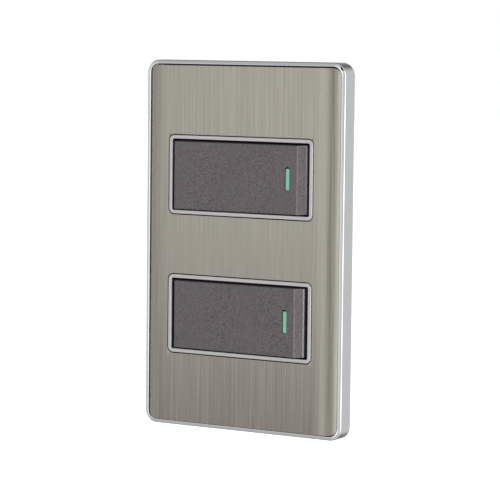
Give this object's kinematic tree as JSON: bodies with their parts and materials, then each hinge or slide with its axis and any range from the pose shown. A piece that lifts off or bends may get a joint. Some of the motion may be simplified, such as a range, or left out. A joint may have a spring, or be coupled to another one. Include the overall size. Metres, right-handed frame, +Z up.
{
  "type": "rocker wall switch",
  "caption": "Flush wall switch: stacked wide tilting rockers in satin bezels on a brushed steel cover plate with a chromed trim frame, a mounting strap and rear snap-in contact modules.",
  "frame": {"origin": "centre of the mounting strap's back face, on the wall plane and midway between the box screws", "axes": "+X to the right seen from the room, +Y into the wall, +Z up"},
  "size_m": [0.075, 0.0341, 0.12],
  "materials": {
    "chrome_trim": "chrome plating on a moulded plastic frame, mirror bright",
    "brushed_face": "stainless steel with a fine vertical brushed grain, clear coated",
    "bezel": "light grey moulding with a satin metallic paint",
    "rocker_plastic": "dark grey moulding with fine metal flake, satin",
    "luminous_mark": "pale green luminous moulding, satin",
    "plate_plastic": "dark grey moulding",
    "module_plastic": "dark grey moulding, fine texture",
    "housing_plastic": "pale grey thermoset moulding",
    "actuator_plastic": "white low-friction moulding",
    "release_plastic": "orange moulding",
    "zinc_steel": "zinc-plated pressed steel",
    "spring_steel": "bright spring stainless steel",
    "brass": "plain stamped brass",
    "copper": "copper alloy strip",
    "silver": "silver alloy contact face"
  },
  "bodies": {
    "switch_body": {"trim_frame": "chrome_trim", "face_plate": "brushed_face", "face_core": "plate_plastic", "upper_bezel": "bezel", "lower_bezel": "bezel", "plate_base": "plate_plastic", "mounting_strap": "zinc_steel", "box_screw_top": "zinc_steel", "box_screw_bottom": "zinc_steel", "plate_screw_top": "zinc_steel", "plate_screw_bottom": "zinc_steel", "upper_module_frame": "module_plastic", "upper_housing": "housing_plastic", "upper_pivot_pin": "spring_steel", "upper_common_terminal": "brass", "upper_load_terminal": "brass", "upper_fixed_contact_tip": "silver", "upper_lock_spring_left_top": "spring_steel", "upper_lock_spring_left_bottom": "spring_steel", "upper_lock_spring_right_top": "spring_steel", "upper_lock_spring_right_bottom": "spring_steel", "lower_module_frame": "module_plastic", "lower_housing": "housing_plastic", "lower_pivot_pin": "spring_steel", "lower_common_terminal": "brass", "lower_load_terminal": "brass", "lower_fixed_contact_tip": "silver", "lower_lock_spring_left_top": "spring_steel", "lower_lock_spring_left_bottom": "spring_steel", "lower_lock_spring_right_top": "spring_steel", "lower_lock_spring_right_bottom": "spring_steel"},
    "upper_rocker_body": {"upper_rocker": "rocker_plastic", "upper_mark": "luminous_mark"},
    "upper_actuator_body": {"upper_actuator": "actuator_plastic", "upper_plunger_spring": "spring_steel"},
    "upper_plunger_body": {"upper_plunger": "actuator_plastic"},
    "upper_blade_body": {"upper_contact_blade": "copper", "upper_moving_contact_tip": "silver"},
    "upper_release_left_body": {"upper_release_left": "release_plastic"},
    "upper_release_right_body": {"upper_release_right": "release_plastic"},
    "lower_rocker_body": {"lower_rocker": "rocker_plastic", "lower_mark": "luminous_mark"},
    "lower_actuator_body": {"lower_actuator": "actuator_plastic", "lower_plunger_spring": "spring_steel"},
    "lower_plunger_body": {"lower_plunger": "actuator_plastic"},
    "lower_blade_body": {"lower_contact_blade": "copper", "lower_moving_contact_tip": "silver"},
    "lower_release_left_body": {"lower_release_left": "release_plastic"},
    "lower_release_right_body": {"lower_release_right": "release_plastic"}
  },
  "joints": [
    {"name": "upper_rocker_tilt", "type": "hinge", "parent": "switch_body", "child": "upper_rocker_body", "pos_m": [0, -0.004, 0.0228], "axis": [0, 0, 1], "range_deg": [-1.6, 0]},
    {"name": "upper_actuator_tilt", "type": "hinge", "parent": "switch_body", "child": "upper_actuator_body", "pos_m": [0, 0.0105, 0.0228], "axis": [0, 0, 1], "range_deg": [0, 7.68]},
    {"name": "upper_blade_tilt", "type": "hinge", "parent": "switch_body", "child": "upper_blade_body", "pos_m": [0, 0.0179, 0.0228], "axis": [0, 0, 1], "range_deg": [-8, 0]},
    {"name": "upper_plunger_slide", "type": "slide", "parent": "upper_actuator_body", "child": "upper_plunger_body", "axis": [-0.067, -0.9978, 0], "range_m": [0, 0.0002], "stiffness_N_per_m": 300},
    {"name": "upper_release_left_slide", "type": "slide", "parent": "switch_body", "child": "upper_release_left_body", "axis": [0, -1, 0], "range_m": [0, 0.001], "stiffness_N_per_m": 800},
    {"name": "upper_release_right_slide", "type": "slide", "parent": "switch_body", "child": "upper_release_right_body", "axis": [0, -1, 0], "range_m": [0, 0.001], "stiffness_N_per_m": 800},
    {"name": "lower_rocker_tilt", "type": "hinge", "parent": "switch_body", "child": "lower_rocker_body", "pos_m": [0, -0.004, -0.0228], "axis": [0, 0, 1], "range_deg": [0, 1.6]},
    {"name": "lower_actuator_tilt", "type": "hinge", "parent": "switch_body", "child": "lower_actuator_body", "pos_m": [0, 0.0105, -0.0228], "axis": [0, 0, 1], "range_deg": [-7.68, 0]},
    {"name": "lower_blade_tilt", "type": "hinge", "parent": "switch_body", "child": "lower_blade_body", "pos_m": [0, 0.0179, -0.0228], "axis": [0, 0, 1], "range_deg": [0, 8]},
    {"name": "lower_plunger_slide", "type": "slide", "parent": "lower_actuator_body", "child": "lower_plunger_body", "axis": [0.067, -0.9978, 0], "range_m": [0, 0.0002], "stiffness_N_per_m": 300},
    {"name": "lower_release_left_slide", "type": "slide", "parent": "switch_body", "child": "lower_release_left_body", "axis": [0, -1, 0], "range_m": [0, 0.001], "stiffness_N_per_m": 800},
    {"name": "lower_release_right_slide", "type": "slide", "parent": "switch_body", "child": "lower_release_right_body", "axis": [0, -1, 0], "range_m": [0, 0.001], "stiffness_N_per_m": 800}
  ],
  "couplings": [
    {"joint": "upper_actuator_tilt", "follows": "upper_rocker_tilt", "ratio": -4.8},
    {"joint": "upper_blade_tilt", "follows": "upper_rocker_tilt", "ratio": 5},
    {"joint": "lower_actuator_tilt", "follows": "lower_rocker_tilt", "ratio": -4.8},
    {"joint": "lower_blade_tilt", "follows": "lower_rocker_tilt", "ratio": 5}
  ]
}
